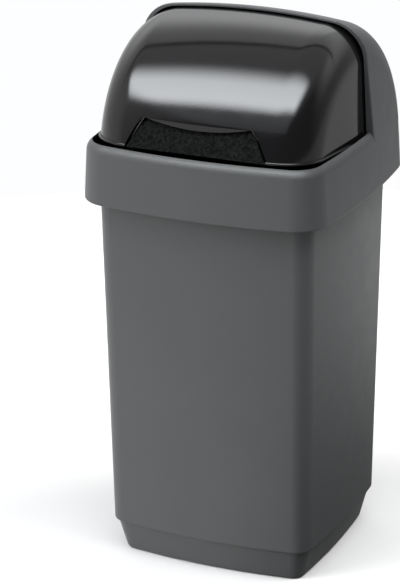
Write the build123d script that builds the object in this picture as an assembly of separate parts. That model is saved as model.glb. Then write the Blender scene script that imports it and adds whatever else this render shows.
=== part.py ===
from build123d import *
import math
import os

# Roll top bin: a tapered tub, a lift-off lid frame with a fixed hood, and a lid that rolls under the hood.
# Millimetres, +Z up, front towards -Y. The origin is on the floor under the middle of the tub.

# Tub
TUB_HEIGHT = 303.0
PLINTH_HEIGHT = 25.4
STEP_HALF_WIDTH = 84.6
STEP_HALF_DEPTH = 79.5
RIM_HALF_WIDTH = 88.6
RIM_HALF_DEPTH = 87.6
END_BOW = 454.0
SIDE_BOW = 701.0
TUB_CORNER = 14.0
TUB_WALL = 2.2
FLOOR_THICKNESS = 2.6
STEP_SET_IN = 2.4
PLINTH_TAPER = 6.0
PLINTH_EDGE = 3.5
STEP_EDGE = 2.0
RIM_BEAD_REACH = 2.5
RIM_BEAD_HEIGHT = 5.0

# Lid frame: skirt, rim and hood in one moulding
SKIRT_OVERHANG = 11.3
FRONT_OVERHANG = 13.3
REAR_OVERHANG = 17.6
SKIRT_LAP = 14.0
SKIRT_CORNER = 27.0
HOOD_CORNER = 30.0
SKIRT_DRAFT = 2.6
SKIRT_EDGE = 1.4
FRAME_WALL = 2.0
RIM_RISE = 32.3
SHOULDER = 9.0
RIM_INSET = 4.0
LEDGE_THICKNESS = 2.4
COLLAR_DEPTH = 8.0
COLLAR_WALL = 1.8
OPENING_Y = 16.8
MOUTH_CORNER = 28.0
HOOD_CROWN = 558.0
HOOD_DRAFT = 11.0
HOOD_WIDEST_Y = 40.0
HOOD_EDGE = 1.0
HOOD_PROUD = 0.05

# Roll lid
PIVOT_Y = 3.7
PIVOT_DROP = 14.3
LID_GAP = 1.1
LID_SIDE_SET_IN = 9.0
LID_DRAFT = 5.1
LID_CORNER = 32.0
LID_WALL = 2.2
LID_REAR_ANGLE = 103.0
LID_REAR_LAP = 2.0
LID_EDGE_RISE = 9.2
LID_EDGE_START = 9.7
LID_EDGE_SLOPE = 4.0
BEAD_REACH = 1.6
BEAD_HEIGHT = 2.0
HUB_RADIUS = 11.0
HUB_THICKNESS = 2.6

# Finger recess in the front of the lid
RECESS_TOP_HALF = 41.3
RECESS_BOTTOM_HALF = 54.3
RECESS_HEIGHT = 21.8
RECESS_LIP_SAG = 5.0
RECESS_FOOT_DEPTH = 3.5
RECESS_DEPTH = 13.0

# Pivot studs
STUD_RADIUS = 3.5
STUD_HEAD_RADIUS = 6.0
STUD_HEAD = 1.6
BOSS_RADIUS = 7.0
BOSS_UNDER_FACE = 0.8
STUD_UNDER_FACE = 2.8

# Clearances
RIM_CLEARANCE = 0.4
STUD_FIT = 0.02
HUB_RUNNING_FIT = 0.1
HUB_SIDE_CLEARANCE = 0.5
STUD_BORE_END = 0.3

# Levels and reaches that follow from the sizes above
FRAME_RIM_Z = TUB_HEIGHT + RIM_RISE
PIVOT_Z = FRAME_RIM_Z - PIVOT_DROP
SKIRT_BOTTOM_Z = TUB_HEIGHT - SKIRT_LAP
SKIRT_HALF_WIDTH = RIM_HALF_WIDTH + SKIRT_OVERHANG
SKIRT_FRONT = RIM_HALF_DEPTH + FRONT_OVERHANG
SKIRT_REAR = RIM_HALF_DEPTH + REAR_OVERHANG
SHOULDER_Z = FRAME_RIM_Z - SHOULDER
SKIRT_SLOPE = SKIRT_DRAFT / (FRAME_RIM_Z - SKIRT_BOTTOM_Z)
SHOULDER_DRAFT = SKIRT_SLOPE * (SHOULDER_Z - SKIRT_BOTTOM_Z)
HOOD_RADIUS = math.hypot(SKIRT_REAR - SHOULDER_DRAFT - PIVOT_Y, SHOULDER_Z - PIVOT_Z) + HOOD_PROUD
LID_RADIUS = HOOD_RADIUS - FRAME_WALL - LID_GAP
LID_HALF_WIDTH = SKIRT_HALF_WIDTH - LID_SIDE_SET_IN
PIVOT_WALL_X = SKIRT_HALF_WIDTH - SKIRT_SLOPE * (PIVOT_Z - SKIRT_BOTTOM_Z)
STUD_BORE_X = PIVOT_WALL_X - STUD_UNDER_FACE
FAR = 3.0 * HOOD_RADIUS

# How far a cutting solid runs past the face it cuts
CUT_PAST = 1.0


def bow_sag(radius, run):
    """How far an arc of this radius has dropped at a distance of run from its middle."""
    return radius - math.sqrt(radius**2 - run**2)


def bow_corner(half_width, half_depth, end_bow):
    """Point where a bowed side meets a bowed end, as positive x and y."""
    ax, ay = 0.0, half_depth - end_bow
    bx, by = half_width - SIDE_BOW, 0.0
    span = math.hypot(bx - ax, by - ay)
    along = (end_bow**2 - SIDE_BOW**2 + span**2) / (2.0 * span)
    off = math.sqrt(end_bow**2 - along**2)
    ux, uy = (bx - ax) / span, (by - ay) / span
    return ax + along * ux + off * uy, ay + along * uy - off * ux


def bowed_face(z, half_width, front, rear, front_corner, rear_corner, rear_bow):
    """Plan outline with four bowed sides and four rounded corners, at height z."""
    front_x, front_y = bow_corner(half_width, front, END_BOW)
    rear_x, rear_y = bow_corner(half_width, rear, rear_bow)
    edges = [
        ThreePointArc((-front_x, -front_y), (0, -front), (front_x, -front_y)),
        ThreePointArc((front_x, -front_y), (half_width, 0), (rear_x, rear_y)),
        ThreePointArc((rear_x, rear_y), (0, rear), (-rear_x, rear_y)),
        ThreePointArc((-rear_x, rear_y), (-half_width, 0), (-front_x, -front_y)),
    ]
    face = make_face(edges)
    face = fillet(face.vertices().filter_by(lambda v: v.Y < 0), front_corner)
    sharp = face.vertices().filter_by(lambda v: abs(abs(v.X) - rear_x) < 0.01 and v.Y > 0)
    face = fillet(sharp, rear_corner)
    return Pos(0, 0, z) * face


def tub_face(z, inset):
    """Plan outline of the tub's outer wall at height z, drawn in by inset."""
    share = (z - PLINTH_HEIGHT) / (TUB_HEIGHT - PLINTH_HEIGHT)
    half_width = STEP_HALF_WIDTH + share * (RIM_HALF_WIDTH - STEP_HALF_WIDTH) - inset
    half_depth = STEP_HALF_DEPTH + share * (RIM_HALF_DEPTH - STEP_HALF_DEPTH) - inset
    corner = TUB_CORNER - 0.5 * inset
    return bowed_face(z, half_width, half_depth, half_depth, corner, corner, END_BOW)


def tub_loft(z_low, z_high, inset_low, inset_high):
    return loft([tub_face(z_low, inset_low), tub_face(z_high, inset_high)], ruled=True)


def skirt_face(z, inset):
    """Plan outline of the skirt at height z, drawn in by inset."""
    return bowed_face(
        z,
        SKIRT_HALF_WIDTH - inset,
        SKIRT_FRONT - inset,
        SKIRT_REAR - inset,
        SKIRT_CORNER - inset,
        HOOD_CORNER - inset,
        HOOD_CROWN,
    )


def skirt_loft(z_low, z_high, inset):
    """Solid inside the drafted skirt, drawn in by inset."""
    low = inset + SKIRT_SLOPE * (z_low - SKIRT_BOTTOM_Z)
    high = inset + SKIRT_SLOPE * (z_high - SKIRT_BOTTOM_Z)
    return loft([skirt_face(z_low, low), skirt_face(z_high, high)], ruled=True)


def barrel(offset, corner):
    """Solid of revolution about the pivot axis, offset from the lid's outside, with this corner radius."""
    radius = LID_RADIUS + offset
    root = LID_HALF_WIDTH + offset
    end = root - LID_DRAFT
    end_radius = radius - bow_sag(HOOD_CROWN, end)
    outline = [
        Line((-root, 0), (root, 0)),
        Line((root, 0), (end, end_radius)),
        ThreePointArc((end, end_radius), (0, radius), (-end, end_radius)),
        Line((-end, end_radius), (-root, 0)),
    ]
    face = make_face(outline)
    face = fillet(face.vertices().filter_by(lambda v: v.Y > 1.0), corner)
    return Pos(0, PIVOT_Y, PIVOT_Z) * revolve(face, Axis.X, 360)


def crown(radius):
    """Wide solid of revolution about the pivot axis with the hood's crowned top."""
    half = SKIRT_HALF_WIDTH + HOOD_CORNER
    edge = radius - bow_sag(HOOD_CROWN, half)
    outline = [
        Line((-half, 0), (half, 0)),
        Line((half, 0), (half, edge)),
        ThreePointArc((half, edge), (0, radius), (-half, edge)),
        Line((-half, edge), (-half, 0)),
    ]
    return Pos(0, PIVOT_Y, PIVOT_Z) * revolve(make_face(outline), Axis.X, 360)


def side_wall_face(z, half_width, widest_y):
    """Plan outline with the two bowed sides only, running past the front and back."""
    run = HOOD_RADIUS + HOOD_CORNER
    x = half_width - bow_sag(SIDE_BOW, run)
    edges = [
        ThreePointArc((x, -run), (half_width, 0), (x, run)),
        Line((x, run), (-x, run)),
        ThreePointArc((-x, run), (-half_width, 0), (-x, -run)),
        Line((-x, -run), (x, -run)),
    ]
    return Pos(0, widest_y, z) * make_face(edges)


def side_prism(points):
    """Prism right across the bin from an outline of (y, z) points."""
    face = make_face(Polyline([(0, y, z) for y, z in points], close=True))
    return extrude(face, FAR, dir=(1, 0, 0), both=True)


def cross_pin(radius, x_low, x_high):
    """Cylinder on the pivot axis from x_low to x_high."""
    centre = Pos(0.5 * (x_low + x_high), PIVOT_Y, PIVOT_Z)
    return centre * Rot(0, 90, 0) * Cylinder(radius, x_high - x_low)


def one_side(shape, side):
    """The shape as drawn for side 1, or mirrored to the left for side -1."""
    return shape if side > 0 else mirror(shape, Plane.YZ)


def make_bin_body():
    plinth = tub_loft(0.0, PLINTH_HEIGHT, STEP_SET_IN + PLINTH_TAPER, STEP_SET_IN)
    plinth = fillet(plinth.faces().sort_by(Axis.Z)[0].edges(), PLINTH_EDGE)
    body = tub_loft(PLINTH_HEIGHT, TUB_HEIGHT, 0.0, 0.0)
    body = fillet(body.faces().sort_by(Axis.Z)[0].edges(), STEP_EDGE)
    outer = plinth + body
    plinth_inset = STEP_SET_IN + TUB_WALL
    step_top = PLINTH_HEIGHT + TUB_WALL
    plinth_room = tub_loft(FLOOR_THICKNESS, step_top, plinth_inset + PLINTH_TAPER, plinth_inset)
    body_room = tub_loft(step_top, TUB_HEIGHT + CUT_PAST, TUB_WALL, TUB_WALL)
    bead = tub_loft(TUB_HEIGHT - RIM_BEAD_HEIGHT, TUB_HEIGHT, -RIM_BEAD_REACH, -RIM_BEAD_REACH)
    return outer + bead - plinth_room - body_room


def hood_block(inset):
    """Solid inside the hood's crown and leaning sides, drawn in by inset."""
    half_width = SKIRT_HALF_WIDTH - SHOULDER_DRAFT + HOOD_PROUD - inset
    slope = HOOD_DRAFT / HOOD_RADIUS
    shift = HOOD_WIDEST_Y / HOOD_RADIUS
    low = side_wall_face(SHOULDER_Z - HOOD_CORNER, half_width + slope * HOOD_CORNER, -shift * HOOD_CORNER)
    high = side_wall_face(SHOULDER_Z + HOOD_RADIUS, half_width - HOOD_DRAFT, HOOD_WIDEST_Y)
    block = loft([low, high], ruled=True) & crown(HOOD_RADIUS - inset)
    top_z = PIVOT_Z + 0.5 * HOOD_RADIUS
    ridges = block.edges().filter_by(lambda e: e.bounding_box().max.Z > top_z and e.length > HOOD_RADIUS)
    ridges = ridges.filter_by(lambda e: abs(e.center().X) > 0.5 * LID_HALF_WIDTH)
    return fillet(ridges, HOOD_CORNER - SHOULDER_DRAFT - inset)


def frame_block(inset):
    """Solid bounded by the frame's outer surface, drawn in by inset."""
    front = OPENING_Y + inset
    step = side_prism([(front, SHOULDER_Z), (FAR, SHOULDER_Z), (FAR, FAR + PIVOT_Z), (front, FAR + PIVOT_Z)])
    skirt = skirt_loft(SKIRT_BOTTOM_Z - inset, FRAME_RIM_Z - inset, inset) - step
    rim = skirt.faces().sort_by(Axis.Z)[-1].edges().filter_by(lambda e: e.center().Y < 0)
    skirt = fillet(rim, SHOULDER - inset)
    hood = hood_block(inset) & step
    if inset == 0.0:
        skirt = fillet(skirt.faces().sort_by(Axis.Z)[0].edges(), SKIRT_EDGE)
        arch = hood.faces().sort_by(Axis.Y)[0].edges()
        hood = fillet(arch.filter_by(lambda e: e.center().Z > SHOULDER_Z + HOOD_EDGE), HOOD_EDGE)
    return skirt + hood


def make_lid_frame():
    deck_z = FRAME_RIM_Z - FRAME_WALL
    rear_of_lip = OPENING_Y + 2.0 * FRAME_WALL
    ahead = side_prism([(-FAR, 0), (OPENING_Y, 0), (OPENING_Y, FAR + PIVOT_Z), (-FAR, FAR + PIVOT_Z)])
    rim_mouth = skirt_loft(deck_z - SHOULDER, FRAME_RIM_Z + CUT_PAST, RIM_INSET) & ahead
    hood_mouth = barrel(LID_GAP, MOUTH_CORNER) & side_prism(
        [(0, PIVOT_Z), (rear_of_lip, PIVOT_Z), (rear_of_lip, FAR + PIVOT_Z), (0, FAR + PIVOT_Z)]
    )
    frame = frame_block(0.0) - frame_block(FRAME_WALL) - rim_mouth - hood_mouth
    ledge_top = TUB_HEIGHT + LEDGE_THICKNESS
    ledge = skirt_loft(TUB_HEIGHT, ledge_top, 0.5 * FRAME_WALL)
    ledge = ledge - tub_loft(TUB_HEIGHT - CUT_PAST, ledge_top + CUT_PAST, TUB_WALL, TUB_WALL)
    reach = RIM_BEAD_REACH + RIM_CLEARANCE
    collar = extrude(tub_face(TUB_HEIGHT, -reach - COLLAR_WALL), -COLLAR_DEPTH)
    collar = collar - extrude(tub_face(TUB_HEIGHT, -reach), -COLLAR_DEPTH)
    frame = frame + ledge + collar
    boss_face = LID_HALF_WIDTH + HUB_SIDE_CLEARANCE
    boss_root = PIVOT_WALL_X - BOSS_UNDER_FACE
    boss = cross_pin(BOSS_RADIUS, boss_face, boss_root)
    bore = cross_pin(STUD_RADIUS + STUD_FIT, boss_face - CUT_PAST, STUD_BORE_X)
    for side in (1, -1):
        frame = frame + one_side(boss, side) - one_side(bore, side)
    return frame


def lid_edge(y):
    """Height of the lid's lower edge at depth y."""
    run = PIVOT_Y - LID_EDGE_START - y
    return PIVOT_Z + LID_EDGE_RISE + run * math.tan(math.radians(LID_EDGE_SLOPE))


def recess_outline(grow):
    """Front view of the finger recess: a trapezoid under a lip that sags in the middle."""
    front = PIVOT_Y - LID_RADIUS
    low = lid_edge(front)
    top = low + RECESS_HEIGHT + grow
    flare = (RECESS_BOTTOM_HALF - RECESS_TOP_HALF) / RECESS_HEIGHT
    below = low - RECESS_HEIGHT
    bottom_half = RECESS_BOTTOM_HALF + flare * RECESS_HEIGHT + grow
    top_half = RECESS_TOP_HALF + grow
    edges = [
        Line((-bottom_half, below), (bottom_half, below)),
        Line((bottom_half, below), (top_half, top)),
        ThreePointArc((top_half, top), (0, top - RECESS_LIP_SAG), (-top_half, top)),
        Line((-top_half, top), (-bottom_half, below)),
    ]
    face = Plane.XZ * make_face(edges)
    return extrude(face, FAR, both=True)


def recess_space(grow):
    """Space in front of the recess floor, which leans back from the lid's lower edge."""
    front = PIVOT_Y - LID_RADIUS
    low = lid_edge(front)
    lean = (RECESS_DEPTH - RECESS_FOOT_DEPTH) / RECESS_HEIGHT
    start = front + RECESS_FOOT_DEPTH + grow
    floor_low = (start - lean * RECESS_HEIGHT, low - RECESS_HEIGHT)
    floor_high = (start + lean * 2.0 * RECESS_HEIGHT, low + 2.0 * RECESS_HEIGHT)
    wedge = side_prism([floor_low, floor_high, (-FAR, floor_high[1]), (-FAR, floor_low[1])])
    return recess_outline(grow) & wedge


def make_roll_lid():
    filled = barrel(0.0, LID_CORNER)
    shell = filled - barrel(-LID_WALL, LID_CORNER - LID_WALL)
    rear = math.radians(LID_REAR_ANGLE)
    rear_y = PIVOT_Y - LID_RADIUS * math.cos(rear)
    rear_z = PIVOT_Z + LID_RADIUS * math.sin(rear)
    heel_y = PIVOT_Y - LID_EDGE_START
    keep = side_prism([
        (PIVOT_Y, PIVOT_Z),
        (heel_y, lid_edge(heel_y)),
        (-FAR, lid_edge(-FAR)),
        (-FAR, PIVOT_Z + FAR),
        (rear_y, PIVOT_Z + FAR),
        (rear_y, rear_z),
        (OPENING_Y + LID_REAR_LAP, lid_edge(heel_y)),
    ])
    band = side_prism([
        (heel_y, lid_edge(heel_y)),
        (-FAR, lid_edge(-FAR)),
        (-FAR, lid_edge(-FAR) + BEAD_HEIGHT),
        (heel_y, lid_edge(heel_y) + BEAD_HEIGHT),
    ])
    bead = barrel(BEAD_REACH, LID_CORNER + BEAD_REACH) - barrel(-0.5 * LID_WALL, LID_CORNER)
    lid = (shell & keep) + (bead & band)
    space = recess_space(0.0)
    pocket = (recess_space(LID_WALL) & filled & keep) - space
    lid = (lid - space) + pocket
    hub = cross_pin(HUB_RADIUS, LID_HALF_WIDTH - HUB_THICKNESS, LID_HALF_WIDTH)
    bore_low = LID_HALF_WIDTH - 2.0 * HUB_THICKNESS
    bore_high = LID_HALF_WIDTH + HUB_THICKNESS
    bore = cross_pin(STUD_RADIUS + HUB_RUNNING_FIT, bore_low, bore_high)
    for side in (1, -1):
        lid = lid + one_side(hub, side) - one_side(bore, side)
    return lid


def make_pivot_stud(side):
    head_face = LID_HALF_WIDTH - HUB_THICKNESS - HUB_SIDE_CLEARANCE
    shank = cross_pin(STUD_RADIUS, head_face, STUD_BORE_X - STUD_BORE_END)
    head = cross_pin(STUD_HEAD_RADIUS, head_face - STUD_HEAD, head_face)
    return one_side(shank + head, side)


def main():
    os.makedirs("parts", exist_ok=True)
    nodes = {
        "bin_body": make_bin_body(),
        "lid_frame": make_lid_frame(),
        "roll_lid": make_roll_lid(),
        "pivot_stud_right": make_pivot_stud(1),
        "pivot_stud_left": make_pivot_stud(-1),
    }
    for name, shape in nodes.items():
        export_step(shape, f"parts/{name}.step")


main()
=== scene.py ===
import math

import bmesh
import bpy
from mathutils import Matrix, Vector


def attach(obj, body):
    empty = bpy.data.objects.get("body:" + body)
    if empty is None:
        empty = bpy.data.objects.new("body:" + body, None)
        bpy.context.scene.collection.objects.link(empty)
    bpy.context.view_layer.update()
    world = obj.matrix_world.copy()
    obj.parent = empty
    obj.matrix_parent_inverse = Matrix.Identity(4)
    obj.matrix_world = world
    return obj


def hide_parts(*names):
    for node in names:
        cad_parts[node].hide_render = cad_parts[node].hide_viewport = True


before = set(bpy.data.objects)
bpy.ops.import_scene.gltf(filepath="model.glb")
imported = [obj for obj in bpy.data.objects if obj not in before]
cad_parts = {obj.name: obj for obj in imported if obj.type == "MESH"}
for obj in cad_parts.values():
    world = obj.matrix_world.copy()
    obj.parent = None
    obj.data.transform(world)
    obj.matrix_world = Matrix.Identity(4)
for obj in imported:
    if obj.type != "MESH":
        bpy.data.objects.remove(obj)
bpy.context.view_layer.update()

MM = 0.001

# Sizes that the lid shares with the CAD, in millimetres
PIVOT_Y = 3.7
PIVOT_Z = 321.0
LID_RADIUS = 96.497
LID_HALF_WIDTH = 90.9
LID_DRAFT = 5.1
LID_CORNER = 32.0
LID_WALL = 2.2
CROWN = 558.0
EDGE_HEIGHT = 9.2
EDGE_START = 9.7
EDGE_SLOPE = math.radians(4.0)
REAR_POINT = (15.1, 9.2)
REAR_ANGLE = math.radians(103.0)
RECESS_TOP_HALF = 41.3
RECESS_BOTTOM_HALF = 54.3
RECESS_HEIGHT = 21.8
RECESS_SAG = 5.0
RECESS_FOOT = 3.5
RECESS_DEPTH = 13.0
BEAD_REACH = 1.6
BEAD_HEIGHT = 2.0
HUB_RADIUS = 11.0
HUB_THICKNESS = 2.6
HUB_BORE = 3.6

# Roundings and small steps that the CAD leaves out, in millimetres
SIDE_ROUND = 1.7
LIP_ROUND = 0.45
LIP_STEP = 1.2
BEAD_ROUND = 0.7
BEAD_ROOT = 0.4
BEAD_HEEL_GAP = 0.6
BEAD_PAST_RECESS = 0.8
HUB_SOFT = 0.4
EDGE_SOFT = 0.6
WELD_REACH = 0.01

# How far the tongue over the recess leans in for each millimetre down, where the rounding of the recess's
# edge turns tight as a share of its height, and how much of the straight rear edge is searched for a radius
TONGUE_LEAN = 0.02
FADE_START = 0.72
FADE_RUN = 0.24
REAR_SEARCH = 1.2

# Divisions of the meshes. The cheeks start CHEEK_FOOT millimetres from the pivot axis.
CHEEK_FOOT = 5.0
CHEEK_STEPS = 28
CORNER_STEPS = 22
SIDE_COLUMNS = 8
RECESS_COLUMNS = 40
LOW_ROWS = 9
LIP_ROWS = 4
HIGH_ROWS = 52
ROWS = LOW_ROWS + LIP_ROWS + HIGH_ROWS
ROUND_STEPS = 5
WALL_STEPS = 3
BEAD_TURNS = 4
HUB_STEPS = 64

# The lid's material slots
GLOSS, TEXTURED = 0, 1


# ---------------------------------------------------------------- node helpers

def new_material(name):
    """A material with an empty Principled shader, and its node tree."""
    material = bpy.data.materials.new(name)
    material.use_nodes = True
    tree = material.node_tree
    tree.nodes.clear()
    shader = tree.nodes.new("ShaderNodeBsdfPrincipled")
    output = tree.nodes.new("ShaderNodeOutputMaterial")
    tree.links.new(shader.outputs["BSDF"], output.inputs["Surface"])
    return material, tree, shader


def feed(tree, sockets, values):
    """Sets each socket to its number, or links it to the node output given for it."""
    for socket, value in zip(sockets, values):
        if isinstance(value, (int, float)):
            socket.default_value = value
        else:
            tree.links.new(value, socket)


def math_node(tree, operation, *values):
    node = tree.nodes.new("ShaderNodeMath")
    node.operation = operation
    feed(tree, node.inputs, values)
    return node.outputs[0]


def product(tree, *values):
    total = values[0]
    for value in values[1:]:
        total = math_node(tree, "MULTIPLY", total, value)
    return total


def map_range(tree, value, low, high, to_low=0.0, to_high=1.0, interpolation="LINEAR"):
    node = tree.nodes.new("ShaderNodeMapRange")
    node.interpolation_type = interpolation
    sockets = [node.inputs[name] for name in ("Value", "From Min", "From Max", "To Min", "To Max")]
    feed(tree, sockets, (value, low, high, to_low, to_high))
    return node.outputs["Result"]


def smooth_step(tree, value, low, high):
    """0 below low, 1 above high and a smooth rise between them."""
    return map_range(tree, value, low, high, interpolation="SMOOTHSTEP")


def falling_step(tree, value, low, high):
    """1 below low, 0 above high and a smooth fall between them."""
    return math_node(tree, "SUBTRACT", 1.0, smooth_step(tree, value, low, high))


def blend_values(tree, factor, low, high):
    """low where factor is 0 and high where it is 1."""
    node = tree.nodes.new("ShaderNodeMix")
    node.data_type = "FLOAT"
    feed(tree, (node.inputs[0], node.inputs[2], node.inputs[3]), (factor, low, high))
    return node.outputs[0]


def color_blend(tree, factor, low, high):
    """The colour low where factor is 0 and high where it is 1."""
    node = tree.nodes.new("ShaderNodeMix")
    node.data_type = "RGBA"
    tree.links.new(factor, node.inputs[0])
    node.inputs[6].default_value = (*low, 1)
    node.inputs[7].default_value = (*high, 1)
    return node.outputs[2]


def split_vector(tree, vector):
    """The vector's x, y and z."""
    node = tree.nodes.new("ShaderNodeSeparateXYZ")
    tree.links.new(vector, node.inputs[0])
    return node.outputs


def noise_node(tree, coords, scale, detail, roughness):
    node = tree.nodes.new("ShaderNodeTexNoise")
    tree.links.new(coords, node.inputs["Vector"])
    node.inputs["Scale"].default_value = scale
    node.inputs["Detail"].default_value = detail
    node.inputs["Roughness"].default_value = roughness
    return node.outputs["Fac"]


def bump_node(tree, height, distance, normal=None):
    node = tree.nodes.new("ShaderNodeBump")
    node.inputs["Strength"].default_value = 1.0
    node.inputs["Distance"].default_value = distance
    tree.links.new(height, node.inputs["Height"])
    if normal is not None:
        tree.links.new(normal, node.inputs["Normal"])
    return node.outputs["Normal"]


# ---------------------------------------------------------------- materials

# Noise scales: the usual mottling, the clouds in the roughness, and the waves in the polished surface
MOTTLE_SCALE = 14.0
CLOUD_SCALE = 60.0
WAVE_SCALE = 9.0


def moulded_plastic(
    name, dark, light, rough, grain, mottle=(MOTTLE_SCALE, 0.0, 1.0), sway=0.0, specular=0.5, ior=1.5
):
    """Plastic with mottled colour, uneven roughness, a fine grain and, where sway is given, slow waves.

    rough is the lowest and highest roughness, and grain the scale and depth of the fine grain. mottle is
    the scale of the mottling and the noise values that give dark and light. sway is the depth of the waves.
    """
    material, tree, shader = new_material(name)
    coords = tree.nodes.new("ShaderNodeTexCoord").outputs["Object"]
    mottle_scale, mottle_low, mottle_high = mottle
    patches = noise_node(tree, coords, mottle_scale, detail=5.0, roughness=0.55)
    mottling = map_range(tree, patches, mottle_low, mottle_high)
    tree.links.new(color_blend(tree, mottling, dark, light), shader.inputs["Base Color"])
    clouds = noise_node(tree, coords, CLOUD_SCALE, detail=4.0, roughness=0.6)
    tree.links.new(map_range(tree, clouds, 0.25, 0.75, *rough), shader.inputs["Roughness"])
    shader.inputs["Specular IOR Level"].default_value = specular
    shader.inputs["IOR"].default_value = ior
    grain_scale, grain_depth = grain
    normal = bump_node(tree, noise_node(tree, coords, grain_scale, detail=3.0, roughness=0.6), grain_depth)
    if sway:
        waves = noise_node(tree, coords, WAVE_SCALE, detail=1.0, roughness=0.3)
        normal = bump_node(tree, waves, sway, normal)
    tree.links.new(normal, shader.inputs["Normal"])
    return material


grey_plastic = moulded_plastic(
    "grey_plastic",
    dark=(0.0436, 0.0451, 0.0464),
    light=(0.0494, 0.0509, 0.0522),
    rough=(0.37, 0.43),
    grain=(1400.0, 0.00006),
    ior=1.34,
)
gloss_plastic = moulded_plastic(
    "black_gloss_plastic",
    dark=(0.003, 0.003, 0.0034),
    light=(0.0045, 0.0045, 0.005),
    rough=(0.08, 0.13),
    grain=(700.0, 0.000016),
    sway=0.0002,
)
recess_plastic = moulded_plastic(
    "black_textured_plastic",
    dark=(0.0003, 0.0004, 0.0004),
    light=(0.0052, 0.0055, 0.0054),
    rough=(0.50, 0.70),
    grain=(900.0, 0.0003),
    mottle=(440.0, 0.38, 0.64),
    specular=0.04,
)
stud_plastic = moulded_plastic(
    "stud_plastic",
    dark=(0.030, 0.031, 0.032),
    light=(0.036, 0.037, 0.038),
    rough=(0.38, 0.50),
    grain=(1200.0, 0.00004),
)


# ---------------------------------------------------------------- the lid's surface
# A place on the lid is x across, r from the pivot axis, and theta up from the front horizontal.

def bisect(is_low, low, high):
    """The value between low and high where is_low turns from true to false."""
    for _ in range(60):
        middle = 0.5 * (low + high)
        if is_low(middle):
            low = middle
        else:
            high = middle
    return middle


def lid_point(x, r, theta):
    return (x, PIVOT_Y - r * math.cos(theta), PIVOT_Z + r * math.sin(theta))


def crown_sag(x):
    """How much lower than in its middle the lid's top is at x."""
    return CROWN - math.sqrt(CROWN**2 - x**2)


def lid_section():
    """Points (x, r, nx, nr) up the right cheek and round its corner, and the x where the corner ends."""
    end_r = LID_RADIUS - crown_sag(LID_HALF_WIDTH - LID_DRAFT)
    run = math.hypot(LID_DRAFT, end_r)
    dx, dr = -LID_DRAFT / run, end_r / run
    nx, nr = dr, -dx
    crown_r = LID_RADIUS - CROWN

    def corner_centre(s):
        return LID_HALF_WIDTH + s * dx - LID_CORNER * nx, s * dr - LID_CORNER * nr

    def inside_crown(s):
        x, r = corner_centre(s)
        return math.hypot(x, r - crown_r) < CROWN - LID_CORNER

    cheek_top = bisect(inside_crown, 0.0, run)
    cx, cr = corner_centre(cheek_top)
    points = []
    for i in range(CHEEK_STEPS + 1):
        s = CHEEK_FOOT + (cheek_top - CHEEK_FOOT) * i / CHEEK_STEPS
        points.append((LID_HALF_WIDTH + s * dx, s * dr, nx, nr))
    start = math.atan2(nr, nx)
    finish = math.atan2(cr - crown_r, cx)
    for i in range(1, CORNER_STEPS + 1):
        turn = start + (finish - start) * i / CORNER_STEPS
        out_x, out_r = math.cos(turn), math.sin(turn)
        points.append((cx + LID_CORNER * out_x, cr + LID_CORNER * out_r, out_x, out_r))
    return points, points[-1][0]


def edge_angle(r, height):
    """Angle at radius r of the plane that is this height above the lid's lower edge."""
    rise = (EDGE_HEIGHT + height - EDGE_START * math.tan(EDGE_SLOPE)) * math.cos(EDGE_SLOPE)
    return EDGE_SLOPE + math.asin(rise / r)


def theta_low(r):
    """Angle of the lid's lower edge at radius r."""
    if r < math.hypot(EDGE_START, EDGE_HEIGHT):
        return math.atan2(EDGE_HEIGHT, EDGE_START)
    return edge_angle(r, 0.0)


def theta_high(r):
    """Angle of the lid's rear edge at radius r."""
    py, pz = REAR_POINT
    if r < math.hypot(py, pz):
        return math.pi - math.atan2(pz, py)
    qy, qz = -LID_RADIUS * math.cos(REAR_ANGLE), LID_RADIUS * math.sin(REAR_ANGLE)

    def edge_point(k):
        return py + k * (qy - py), pz + k * (qz - pz)

    y, z = edge_point(bisect(lambda k: math.hypot(*edge_point(k)) < r, 0.0, REAR_SEARCH))
    return math.pi - math.atan2(z, y)


# ---------------------------------------------------------------- the finger recess

LOW_Z = lid_point(0, LID_RADIUS, theta_low(LID_RADIUS))[2]
TOP_Z = LOW_Z + RECESS_HEIGHT
LIP_RADIUS = (RECESS_TOP_HALF**2 + RECESS_SAG**2) / (2 * RECESS_SAG)
SIDE_FLARE = RECESS_BOTTOM_HALF - RECESS_TOP_HALF
SIDE_RUN = math.hypot(RECESS_HEIGHT, SIDE_FLARE)
# the way into the opening from its right edge, as (x, z)
SIDE_IN = (-RECESS_HEIGHT / SIDE_RUN, -SIDE_FLARE / SIDE_RUN)


def lip_z(x):
    """Height of the lip, which sags in the middle."""
    if abs(x) >= RECESS_TOP_HALF:
        return TOP_Z
    return TOP_Z - RECESS_SAG + LIP_RADIUS - math.sqrt(LIP_RADIUS**2 - x * x)


def rim_radius(share):
    """Rounding of the recess's edge at this share of its height, wide down its sides and tight at the lip."""
    fade = min(max((share - FADE_START) / FADE_RUN, 0.0), 1.0)
    return SIDE_ROUND + (LIP_ROUND - SIDE_ROUND) * fade * fade * (3.0 - 2.0 * fade)


def recess_half(z):
    """Half width of the opening at height z, out to where its edge starts to round."""
    share = min(max((z - LOW_Z) / RECESS_HEIGHT, 0.0), 1.0)
    return RECESS_BOTTOM_HALF - share * SIDE_FLARE - rim_radius(share) / SIDE_IN[0]


def upright_y(r, z):
    """Place in y of the tongue over the recess, which is upright below the recess's top and leans in."""
    top_y = PIVOT_Y - math.sqrt(r**2 - (TOP_Z - PIVOT_Z) ** 2)
    return top_y + TONGUE_LEAN * (TOP_Z - z) if z < TOP_Z else -r


def recess_floor_y(z):
    """Place in y of the recess's floor, which leans back as it rises from the lid's lower edge."""
    lean = (RECESS_DEPTH - RECESS_FOOT) / RECESS_HEIGHT
    return PIVOT_Y - LID_RADIUS + RECESS_FOOT + lean * (z - LOW_Z)


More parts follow.
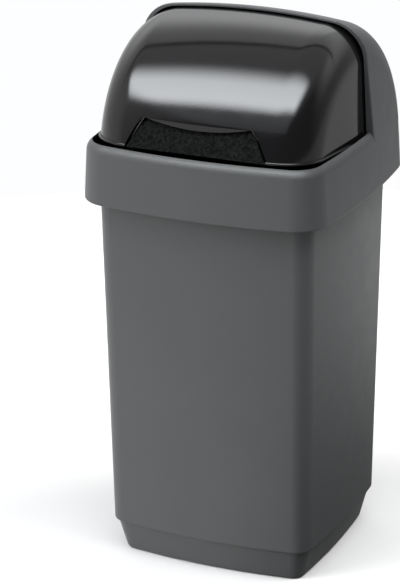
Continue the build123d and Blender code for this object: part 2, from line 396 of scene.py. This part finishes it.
def rim_turn(x, row, at_side):
    """Radius of the rounded edge at a point of the opening, and the way from it into the opening as (x, z)."""
    radius = rim_radius(row / LOW_ROWS)
    side = (math.copysign(1.0, x) * SIDE_IN[0], SIDE_IN[1])
    if row < LOW_ROWS:
        return radius, side
    along = x / LIP_RADIUS
    down = (along, -math.sqrt(1.0 - along * along))
    if not at_side:
        return radius, down
    both = (down[0] + side[0], down[1] + side[1])
    length = math.hypot(*both)
    return radius, (both[0] / length, both[1] / length)


# ---------------------------------------------------------------- meshes

class MeshParts:
    """A mesh's points in millimetres, and its faces with the material slot of each."""

    def __init__(self):
        self.points = []
        self.faces = []
        self.slots = []

    def add_point(self, point):
        self.points.append(tuple(point))
        return len(self.points) - 1

    def add_face(self, corners, slot=GLOSS):
        self.faces.append(tuple(corners))
        self.slots.append(slot)


def mesh_object(name, parts, materials):
    """Smooth object whose normals point outwards, which is upwards at its highest face."""
    mesh = bpy.data.meshes.new(name)
    mesh.from_pydata([tuple(v * MM for v in p) for p in parts.points], [], parts.faces)
    for material in materials:
        mesh.materials.append(material)
    mesh.polygons.foreach_set("material_index", parts.slots)
    mesh.update()
    obj = bpy.data.objects.new(name, mesh)
    bpy.context.scene.collection.objects.link(obj)
    bm = bmesh.new()
    bm.from_mesh(mesh)
    bmesh.ops.recalc_face_normals(bm, faces=bm.faces)
    if max(bm.faces, key=lambda f: f.calc_center_median().z).normal.z < 0:
        bmesh.ops.reverse_faces(bm, faces=bm.faces)
    bm.to_mesh(mesh)
    bm.free()
    mesh.shade_smooth()
    return obj


def soften(obj, segments, angle):
    """Rounds the edges that are sharper than angle."""
    bevel = obj.modifiers.new("soft_edges", "BEVEL")
    bevel.width = EDGE_SOFT * MM
    bevel.segments = segments
    bevel.limit_method = "ANGLE"
    bevel.angle_limit = math.radians(angle)
    smooth = obj.modifiers.new("weighted", "WEIGHTED_NORMAL")
    smooth.keep_sharp = True


def shell_columns(section):
    """(side, kind, value) of the shell's columns, from the right cheek over to the left one."""
    half = [("cheek", point) for point in section]
    half += [("side", i / SIDE_COLUMNS) for i in range(1, SIDE_COLUMNS)]
    half += [("recess", 1.0 - 2.0 * i / RECESS_COLUMNS) for i in range(RECESS_COLUMNS // 2 + 1)]
    right = [(1, kind, value) for kind, value in half]
    left = [(-1, kind, value) for kind, value in reversed(half[:-1])]
    return right + left


def column_place(kind, value, inner_x, row):
    """(x, r) of a column on this row. The columns by the recess follow its slanted sides."""
    if kind == "cheek":
        return value[0], value[1]
    half = recess_half(LOW_Z + RECESS_HEIGHT * min(row, LOW_ROWS) / LOW_ROWS)
    x = half * value if kind == "recess" else inner_x + (half - inner_x) * value
    return x, LID_RADIUS - crown_sag(x)


def share_up(z):
    """How far height z is from the lower to the rear edge, at the recess's upper corner."""
    r = LID_RADIUS - crown_sag(RECESS_TOP_HALF)
    low, high = theta_low(r), theta_high(r)
    return (math.asin((z - PIVOT_Z) / r) - low) / (high - low)


def row_angle(row, low, lip, top, high):
    """Angle of a row: up to the recess's lip, over the step above it, and on to the rear edge."""
    if row <= LOW_ROWS:
        return low + (lip - low) * row / LOW_ROWS
    if row <= LOW_ROWS + LIP_ROWS:
        return lip + (top - lip) * (row - LOW_ROWS) / LIP_ROWS
    return top + (high - top) * (row - LOW_ROWS - LIP_ROWS) / HIGH_ROWS


def add_outer_grid(parts, columns, inner_x):
    """The shell's outer points, by column and row."""
    lip_share, top_share = share_up(TOP_Z), share_up(TOP_Z + LIP_STEP)
    grid = {}
    for c, (side, kind, value) in enumerate(columns):
        for row in range(ROWS + 1):
            x, r = column_place(kind, value, inner_x, row)
            low, high = theta_low(r), theta_high(r)
            if kind == "recess":
                lip = math.asin((lip_z(x) + LIP_ROUND - PIVOT_Z) / r)
                top = math.asin((TOP_Z + LIP_STEP - PIVOT_Z) / r)
            else:
                lip, top = low + lip_share * (high - low), low + top_share * (high - low)
            x, y, z = lid_point(side * x, r, row_angle(row, low, lip, top, high))
            if kind == "recess" and row <= LOW_ROWS + LIP_ROWS:
                y = max(y, upright_y(r, z))
            grid[c, row] = parts.add_point((x, y, z))
    return grid


def add_recess_floor(parts, grid, first, last):
    """The recess's floor under the grid's columns from first to last, inside the rounded edge."""
    floor = {}
    for c in range(first, last + 1):
        for row in range(LOW_ROWS + 1):
            x, _, z = parts.points[grid[c, row]]
            at_side = c in (first, last)
            if at_side or row == LOW_ROWS:
                radius, (in_x, in_z) = rim_turn(x, row, at_side)
                x, z = x + radius * in_x, z + radius * in_z
            y = recess_floor_y(z)
            if row == 0:
                z = LOW_Z - (y - (PIVOT_Y - LID_RADIUS)) * math.tan(EDGE_SLOPE)
                y = recess_floor_y(z)
            floor[c, row] = parts.add_point((x, y, z))
    for c in range(first, last):
        for row in range(LOW_ROWS):
            corners = (floor[c, row], floor[c, row + 1], floor[c + 1, row + 1], floor[c + 1, row])
            parts.add_face(corners, TEXTURED)
    return floor


def add_recess_wall(parts, grid, floor, first, last):
    """The rounded edge of the recess, and the straight wall from it to the floor."""
    loop = [(first, row) for row in range(LOW_ROWS + 1)]
    loop += [(c, LOW_ROWS) for c in range(first + 1, last + 1)]
    loop += [(last, row) for row in range(LOW_ROWS - 1, -1, -1)]
    ranks = [[grid[key] for key in loop]]
    for step in range(1, ROUND_STEPS + 1):
        turn = 0.5 * math.pi * step / ROUND_STEPS
        rank = []
        for c, row in loop:
            x, y, z = parts.points[grid[c, row]]
            radius, (in_x, in_z) = rim_turn(x, row, c in (first, last))
            if row == 0:
                z += (parts.points[floor[c, row]][2] - z) * step / (ROUND_STEPS + WALL_STEPS)
            else:
                z += radius * math.sin(turn) * in_z
            x += radius * math.sin(turn) * in_x
            rank.append(parts.add_point((x, y + radius * (1.0 - math.cos(turn)), z)))
        ranks.append(rank)
    for step in range(1, WALL_STEPS):
        rank = []
        for key, start in zip(loop, ranks[ROUND_STEPS]):
            near, far = Vector(parts.points[start]), Vector(parts.points[floor[key]])
            rank.append(parts.add_point(near.lerp(far, step / WALL_STEPS)))
        ranks.append(rank)
    ranks.append([floor[key] for key in loop])
    for order, (near, far) in enumerate(zip(ranks, ranks[1:])):
        slot = GLOSS if order < ROUND_STEPS else TEXTURED
        for i in range(len(loop) - 1):
            parts.add_face((near[i], near[i + 1], far[i + 1], far[i]), slot)


def build_lid():
    """The lid's shell with its recess, given its wall and soft edges by modifiers."""
    section, inner_x = lid_section()
    columns = shell_columns(section)
    middle = len(columns) // 2
    first, last = middle - RECESS_COLUMNS // 2, middle + RECESS_COLUMNS // 2
    parts = MeshParts()
    grid = add_outer_grid(parts, columns, inner_x)
    for c in range(len(columns) - 1):
        for row in range(LOW_ROWS if first <= c < last else 0, ROWS):
            parts.add_face((grid[c, row], grid[c, row + 1], grid[c + 1, row + 1], grid[c + 1, row]))
    floor = add_recess_floor(parts, grid, first, last)
    add_recess_wall(parts, grid, floor, first, last)
    obj = mesh_object("roll_lid_shell", parts, (gloss_plastic, recess_plastic))
    solid = obj.modifiers.new("wall", "SOLIDIFY")
    solid.thickness = LID_WALL * MM
    solid.offset = -1.0
    soften(obj, segments=3, angle=35.0)
    return obj


def side_name(stem, side):
    return f"{stem}_right" if side > 0 else f"{stem}_left"


def bead_profile():
    """(reach, height) points round the bead's rounded section."""
    low, high, reach = BEAD_ROUND, BEAD_HEIGHT - BEAD_ROUND, BEAD_REACH - BEAD_ROUND
    points = [(-BEAD_ROOT, 0.0)]
    for height, start in ((low, -90.0), (high, 0.0)):
        for i in range(BEAD_TURNS + 1):
            turn = math.radians(start + 90.0 * i / BEAD_TURNS)
            points.append((reach + BEAD_ROUND * math.cos(turn), height + BEAD_ROUND * math.sin(turn)))
    points.append((-BEAD_ROOT, BEAD_HEIGHT))
    return points


def build_bead(side):
    """The bead along the lid's lower edge, from the heel of the cheek round the corner to the recess."""
    section, inner_x = lid_section()
    heel = math.hypot(EDGE_START, EDGE_HEIGHT) + BEAD_REACH + BEAD_HEEL_GAP
    path = [point for point in section if point[1] > heel]
    end_x = RECESS_BOTTOM_HALF + BEAD_PAST_RECESS
    for i in range(1, SIDE_COLUMNS + 1):
        x = inner_x + (end_x - inner_x) * i / SIDE_COLUMNS
        nx = x / CROWN
        path.append((x, LID_RADIUS - crown_sag(x), nx, math.sqrt(1.0 - nx * nx)))
    profile = bead_profile()
    count = len(profile)
    parts = MeshParts()
    for x, r, nx, nr in path:
        for reach, height in profile:
            at_r = r + reach * nr
            parts.add_point(lid_point(side * (x + reach * nx), at_r, edge_angle(at_r, height)))
    for k in range(len(path) - 1):
        for i in range(count):
            a, b = k * count + i, k * count + (i + 1) % count
            parts.add_face((a, b, b + count, a + count))
    total = len(parts.points)
    parts.add_face(range(count))
    parts.add_face(range(total - count, total))
    return mesh_object(side_name("lid_bead", side), parts, (gloss_plastic,))


def build_hub(side):
    """Bearing ring on the inside of a cheek, round the pivot stud."""
    inner, outer = LID_HALF_WIDTH - HUB_THICKNESS, LID_HALF_WIDTH
    profile = (
        (inner, HUB_BORE + HUB_SOFT),
        (inner, HUB_RADIUS - HUB_SOFT),
        (inner + HUB_SOFT, HUB_RADIUS),
        (outer - HUB_SOFT, HUB_RADIUS),
        (outer, HUB_RADIUS - HUB_SOFT),
        (outer, HUB_BORE + HUB_SOFT),
        (outer - HUB_SOFT, HUB_BORE),
        (inner + HUB_SOFT, HUB_BORE),
    )
    count = len(profile)
    parts = MeshParts()
    for k in range(HUB_STEPS):
        for x, r in profile:
            parts.add_point(lid_point(side * x, r, 2.0 * math.pi * k / HUB_STEPS))
    for k in range(HUB_STEPS):
        here, there = k * count, (k + 1) % HUB_STEPS * count
        for i in range(count):
            j = (i + 1) % count
            parts.add_face((here + i, here + j, there + j, there + i))
    return mesh_object(side_name("lid_hub", side), parts, (gloss_plastic,))


# ---------------------------------------------------------------- pieces

lid = build_lid()
beads = [build_bead(side) for side in (1, -1)]
hubs = [build_hub(side) for side in (1, -1)]
for piece in (lid, *beads, *hubs):
    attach(piece, "lid")
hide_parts("roll_lid")

for name, material in (
    ("bin_body", grey_plastic),
    ("lid_frame", grey_plastic),
    ("pivot_stud_right", stud_plastic),
    ("pivot_stud_left", stud_plastic),
):
    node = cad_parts[name]
    node.data.materials.clear()
    node.data.materials.append(material)
    node.data.shade_smooth()
    if name == "lid_frame":
        weld = node.modifiers.new("weld", "WELD")
        weld.merge_threshold = WELD_REACH * MM
        soften(node, segments=2, angle=40.0)


# ---------------------------------------------------------------- floor, light and camera

# The floor: its radius in metres, its tone, and the darker tone of a painted shadow that the bin picks up from
# it by its right side. That painted shadow rises and falls across the first two ranges of x, and falls towards
# the back.
FLOOR_RADIUS = 0.85
FLOOR_STEPS = 96
FLOOR_TONE = 0.585
FLOOR_PAINTED_SHADOW = 0.06
PAINTED_SHADOW_RISE = (-0.02, 0.12)
PAINTED_SHADOW_FALL = (0.10, 0.75)
PAINTED_SHADOW_BACK = (0.05, 0.90)

# The softbox's brightness in the room, and the brightness that is added for what mirrors it
SOFTBOX_ROOM = 4.8
SOFTBOX_GLOSS = 6.8
SOFTBOX_TINT = (0.93, 0.97, 1.0)
# Where its edges start and end on the ceiling, in units of the ceiling's height: a to the right, b to the
# back. It is turned by SOFTBOX_TURN and moved back by SOFTBOX_SHIFT, and a faint spill reaches forwards.
SOFTBOX_LEFT = (-1.10, -0.84)
SOFTBOX_RIGHT = (0.56, 0.97)
SOFTBOX_FRONT = (-1.21, -0.82)
SOFTBOX_REAR = (-0.47, -0.10)
SOFTBOX_TURN = -0.165
SOFTBOX_SHIFT = 0.08
SPILL_RANGE = (-2.4, -1.4)
SPILL_LEVEL = 0.055
FADE_RANGE = (-0.80, -0.40)
FADE_LEVEL = 0.86
# The lamp that stands for the softbox in gloss: its height in metres, and its corners in a and b
LAMP_HEIGHT = 20.0
LAMP_LOW = (-1.1, -2.4)
LAMP_HIGH = (1.0, 0.0)

# Strength, spread in degrees and direction of the two fills
SIDE_FILL = (2.2, 45.0, (0.90, 0.20, 1.25))
FRONT_FILL = (4.6, 36.0, (-1.15, -1.0, 0.35))
FILL_TINT = (1.0, 0.985, 0.96)
LIGHT_HEIGHT = 3.0

# The room's brightness low in front, what its left, its right and its back add to it, and the brightness
# overhead. Turns are in radians round the bin from the front to the right, and the ranges in Y and Z are
# those parts of the direction from the bin.
ROOM_TINT = (0.985, 0.99, 1.0)
ROOM_LEVEL = 0.10
LEFT_TURN = (-1.0, -0.35)
LEFT_LEVEL = 0.75
RIGHT_TURN = (1.40, 2.30)
RIGHT_LEVEL = 0.25
BEHIND_Y = (0.0, 0.6)
BEHIND_Z = (0.15, 0.55)
BEHIND_LEVEL = 0.86
OVERHEAD_Z = (0.55, 0.80)
OVERHEAD_LEVEL = 0.95
# The joint of ceiling and backdrop is the line b = JOINT_SLOPE a + JOINT_PLACE. It is dark, and the ceiling
# in front of it is darker than the backdrop.
JOINT_SLOPE = 0.56
JOINT_PLACE = 0.59
JOINT_Z = (0.35, 0.60)
JOINT_WIDTH = (0.015, 0.075)
JOINT_LOSS = 0.92
CEILING_EDGE = (-0.02, 0.02)
CEILING_Z = (0.55, 0.70)
CEILING_LOSS = 0.32
# Below the horizon is the floor beyond the disc, which is duller behind on the right
HORIZON_Z = (-0.10, 0.0)
REAR_RIGHT = (0.6, 0.8)
REAR_RIGHT_RANGE = (-0.1, 0.7)
BEYOND_LEVEL = 0.95
BEYOND_DULL = 0.50

# Camera that was fitted to the photograph's outlines: place in metres, turns, and focal length in pixels
CAMERA_PLACE = (0.79573, -1.83013, 0.95646)
CAMERA_AZIMUTH = math.radians(24.47)
CAMERA_ELEVATION = math.radians(20.77)
CAMERA_ROLL = math.radians(-0.46)
CAMERA_FOCAL = 2802.24
PHOTO_HEIGHT = 586.0
SENSOR = 36.0


def make_floor():
    """Round pale floor that catches the shadows, plain to the camera, with a painted shadow by the bin's right
    side for the bin.
    """
    rim = [2.0 * math.pi * i / FLOOR_STEPS for i in range(FLOOR_STEPS)]
    points = [(FLOOR_RADIUS * math.cos(t), FLOOR_RADIUS * math.sin(t), 0.0) for t in rim]
    mesh = bpy.data.meshes.new("studio_floor")
    mesh.from_pydata(points, [], [tuple(range(FLOOR_STEPS))])
    floor = bpy.data.objects.new("studio_floor", mesh)
    bpy.context.scene.collection.objects.link(floor)
    material, tree, shader = new_material("studio_floor")
    x, y, _ = split_vector(tree, tree.nodes.new("ShaderNodeTexCoord").outputs["Object"])
    # painted shadow: a darker floor tone by the bin's right side, which the bin sees and the camera doesn't
    shadow_patch = product(
        tree,
        smooth_step(tree, x, *PAINTED_SHADOW_RISE),
        falling_step(tree, x, *PAINTED_SHADOW_FALL),
        falling_step(tree, y, *PAINTED_SHADOW_BACK),
    )
    seen = tree.nodes.new("ShaderNodeLightPath").outputs["Is Camera Ray"]
    tone = blend_values(tree, seen, blend_values(tree, shadow_patch, FLOOR_TONE, FLOOR_PAINTED_SHADOW), FLOOR_TONE)
    tree.links.new(color_blend(tree, tone, (0, 0, 0), (1, 1, 1)), shader.inputs["Base Color"])
    shader.inputs["Roughness"].default_value = 0.9
    shader.inputs["Specular IOR Level"].default_value = 0.2
    mesh.materials.append(material)


def softbox_shape(tree, a, b):
    """Brightness of the softbox at a place on the ceiling."""
    left = smooth_step(tree, a, *SOFTBOX_LEFT)
    right = falling_step(tree, a, *SOFTBOX_RIGHT)
    b = math_node(tree, "MULTIPLY_ADD", a, SOFTBOX_TURN, math_node(tree, "SUBTRACT", b, SOFTBOX_SHIFT))
    front = smooth_step(tree, b, *SOFTBOX_FRONT)
    spill = math_node(tree, "MULTIPLY", smooth_step(tree, b, *SPILL_RANGE), SPILL_LEVEL)
    front = math_node(tree, "MAXIMUM", front, spill)
    rear = falling_step(tree, b, *SOFTBOX_REAR)
    fade = map_range(tree, b, *FADE_RANGE, 1.0, FADE_LEVEL)
    return product(tree, left, right, front, rear, fade)


def room_level(tree, direction, a, b):
    """Brightness of the room without the softbox, in a direction from the bin."""
    dx, dy, dz = direction
    turn = math_node(tree, "ARCTAN2", dx, math_node(tree, "MULTIPLY", dy, -1.0))
    left = falling_step(tree, turn, *LEFT_TURN)
    right = smooth_step(tree, turn, *RIGHT_TURN)
    behind = product(tree, smooth_step(tree, dy, *BEHIND_Y), smooth_step(tree, dz, *BEHIND_Z))
    level = math_node(tree, "MULTIPLY_ADD", left, LEFT_LEVEL, ROOM_LEVEL)
    level = math_node(tree, "MULTIPLY_ADD", right, RIGHT_LEVEL, level)
    level = math_node(tree, "MULTIPLY_ADD", behind, BEHIND_LEVEL, level)
    level = blend_values(tree, smooth_step(tree, dz, *OVERHEAD_Z), level, OVERHEAD_LEVEL)
    past = math_node(tree, "SUBTRACT", b, math_node(tree, "MULTIPLY_ADD", a, JOINT_SLOPE, JOINT_PLACE))
    ceiling = product(tree, falling_step(tree, past, *CEILING_EDGE), smooth_step(tree, dz, *CEILING_Z))
    level = product(tree, level, math_node(tree, "MULTIPLY_ADD", ceiling, -CEILING_LOSS, 1.0))
    joint = falling_step(tree, math_node(tree, "ABSOLUTE", past), *JOINT_WIDTH)
    joint = product(tree, joint, smooth_step(tree, dz, *JOINT_Z))
    level = product(tree, level, math_node(tree, "MULTIPLY_ADD", joint, -JOINT_LOSS, 1.0))
    right_x, back_y = REAR_RIGHT
    rear_right = math_node(tree, "MULTIPLY_ADD", dx, right_x, math_node(tree, "MULTIPLY", dy, back_y))
    shadow_patch = smooth_step(tree, rear_right, *REAR_RIGHT_RANGE)
    beyond = map_range(tree, shadow_patch, 0.0, 1.0, BEYOND_LEVEL, BEYOND_DULL)
    return blend_values(tree, smooth_step(tree, dz, *HORIZON_Z), beyond, level)


def make_world():
    """The room with its softbox, for light and reflections. The camera sees plain white behind the bin."""
    world = bpy.data.worlds.new("studio")
    bpy.context.scene.world = world
    world.use_nodes = True
    tree = world.node_tree
    tree.nodes.clear()
    dx, dy, dz = split_vector(tree, tree.nodes.new("ShaderNodeTexCoord").outputs["Generated"])
    up = math_node(tree, "MAXIMUM", dz, 0.02)
    a = math_node(tree, "DIVIDE", dx, up)
    b = math_node(tree, "DIVIDE", dy, up)
    box = product(tree, softbox_shape(tree, a, b), smooth_step(tree, dz, 0.05, 0.15))
    total = math_node(tree, "MULTIPLY_ADD", box, SOFTBOX_ROOM, room_level(tree, (dx, dy, dz), a, b))
    seen = tree.nodes.new("ShaderNodeLightPath").outputs["Is Camera Ray"]
    background = tree.nodes.new("ShaderNodeBackground")
    tree.links.new(color_blend(tree, box, ROOM_TINT, SOFTBOX_TINT), background.inputs["Color"])
    tree.links.new(blend_values(tree, seen, total, 1.0), background.inputs["Strength"])
    output = tree.nodes.new("ShaderNodeOutputWorld")
    tree.links.new(background.outputs[0], output.inputs["Surface"])
    world.cycles.sampling_method = "MANUAL"
    world.cycles.sample_map_resolution = 1024


def place_light(data, location, toward):
    """Light object at location whose beam comes from the direction toward."""
    obj = bpy.data.objects.new(data.name, data)
    bpy.context.scene.collection.objects.link(obj)
    obj.location = location
    obj.rotation_euler = Vector(toward).to_track_quat("Z", "Y").to_euler()
    obj.visible_camera = False
    return obj


def make_gloss_softbox():
    """The softbox again for what mirrors it, so that the lid is bright without a hard shadow on the floor."""
    (low_a, low_b), (high_a, high_b) = LAMP_LOW, LAMP_HIGH
    light = bpy.data.lights.new("gloss_softbox", "AREA")
    light.shape = "RECTANGLE"
    light.size = LAMP_HEIGHT * (high_a - low_a)
    light.size_y = LAMP_HEIGHT * (high_b - low_b)
    # with 4 watts a square metre, its strength counts as a background's does
    light.energy = 4.0 * light.size * light.size_y
    light.use_nodes = True
    tree = light.node_tree
    emission = next(node for node in tree.nodes if node.type == "EMISSION")
    x, y, _ = split_vector(tree, tree.nodes.new("ShaderNodeNewGeometry").outputs["Position"])
    a = math_node(tree, "DIVIDE", x, LAMP_HEIGHT)
    b = math_node(tree, "DIVIDE", y, LAMP_HEIGHT)
    strength = math_node(tree, "MULTIPLY", softbox_shape(tree, a, b), SOFTBOX_GLOSS)
    tree.links.new(strength, emission.inputs["Strength"])
    emission.inputs["Color"].default_value = (*SOFTBOX_TINT, 1)
    middle = (0.5 * LAMP_HEIGHT * (low_a + high_a), 0.5 * LAMP_HEIGHT * (low_b + high_b), LAMP_HEIGHT)
    place_light(light, middle, (0, 0, 1)).visible_diffuse = False


def make_fill(name, strength, spread, toward):
    """Wide soft light from the direction toward, which lights what is matt and isn't mirrored in the gloss."""
    light = bpy.data.lights.new(name, "SUN")
    light.energy = strength
    light.angle = math.radians(spread)
    light.color = FILL_TINT
    place_light(light, (0, 0, LIGHT_HEIGHT), toward).visible_glossy = False


def make_camera():
    """The photograph's camera."""
    level = math.cos(CAMERA_ELEVATION)
    back = Vector((
        math.sin(CAMERA_AZIMUTH) * level,
        -math.cos(CAMERA_AZIMUTH) * level,
        math.sin(CAMERA_ELEVATION),
    ))
    right = Vector((math.cos(CAMERA_AZIMUTH), math.sin(CAMERA_AZIMUTH), 0.0))
    up = back.cross(right)
    rolled_right = math.cos(CAMERA_ROLL) * right + math.sin(CAMERA_ROLL) * up
    rolled_up = math.cos(CAMERA_ROLL) * up - math.sin(CAMERA_ROLL) * right
    data = bpy.data.cameras.new("photo_camera")
    camera = bpy.data.objects.new("photo_camera", data)
    bpy.context.scene.collection.objects.link(camera)
    turn = Matrix((rolled_right, rolled_up, back)).transposed()
    camera.matrix_world = Matrix.Translation(CAMERA_PLACE) @ turn.to_4x4()
    data.sensor_width = SENSOR
    data.lens = CAMERA_FOCAL / PHOTO_HEIGHT * SENSOR
    data.clip_start = 0.05
    data.clip_end = 50.0
    bpy.context.scene.camera = camera


make_floor()
make_world()
make_gloss_softbox()
make_fill("side_fill", *SIDE_FILL)
make_fill("front_fill", *FRONT_FILL)
make_camera()
bpy.context.scene.view_settings.view_transform = "Standard"
